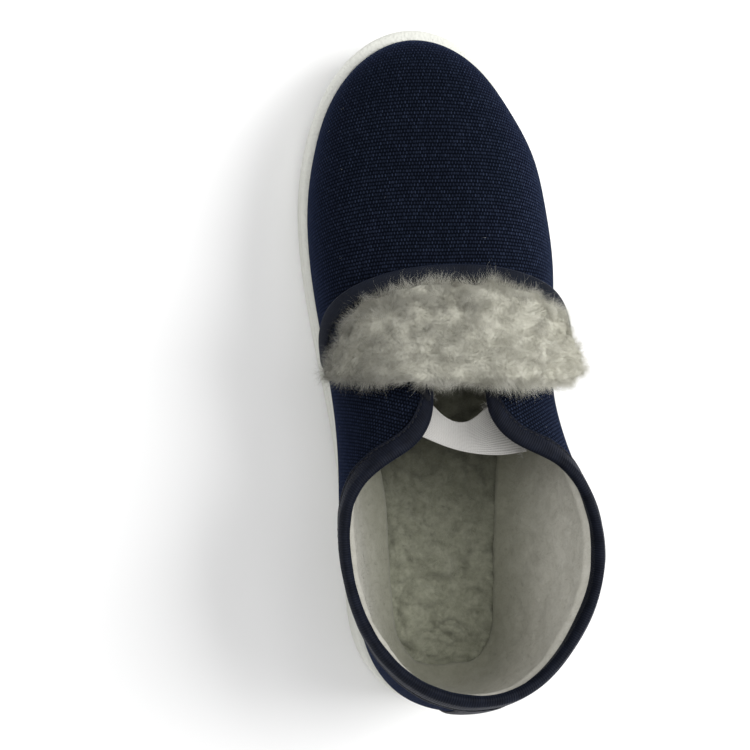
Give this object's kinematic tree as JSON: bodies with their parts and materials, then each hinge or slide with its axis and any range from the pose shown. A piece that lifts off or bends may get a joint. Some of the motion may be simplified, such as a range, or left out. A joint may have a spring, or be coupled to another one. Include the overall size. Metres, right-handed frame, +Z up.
{
  "type": "antistatic shoe",
  "caption": "Right-foot slip-on work shoe: padded canvas upper open at collar and throat, pile-lined tongue folded forward, stretch panel and moulded cup sole.",
  "frame": {"origin": "middle of the footprint of the shoe's box, on the floor", "axes": "+Y towards the toe, +X towards the outer side of the foot, +Z up"},
  "size_m": [0.1074, 0.282, 0.0932],
  "materials": {
    "moulded_sole": "matt off-white with a fine pebble",
    "insole_fleece": "lumpy cream fleece",
    "canvas_upper": "coarse navy plain weave",
    "collar_tape": "navy ribbed tape",
    "heel_tape": "navy ribbed tape",
    "white_elastic": "white ribbed elastic",
    "tongue_canvas": "coarse navy plain weave",
    "tongue_tape": "navy ribbed tape",
    "tongue_pile": "long cream pile"
  },
  "bodies": {
    "root": {"outsole": "moulded_sole", "insole": "insole_fleece", "upper": "canvas_upper", "collar_binding": "collar_tape", "heel_stay": "heel_tape", "elastic": "white_elastic", "tongue": "tongue_canvas", "tongue_binding": "tongue_tape", "tongue_fleece": "tongue_pile"}
  },
  "joints": []
}
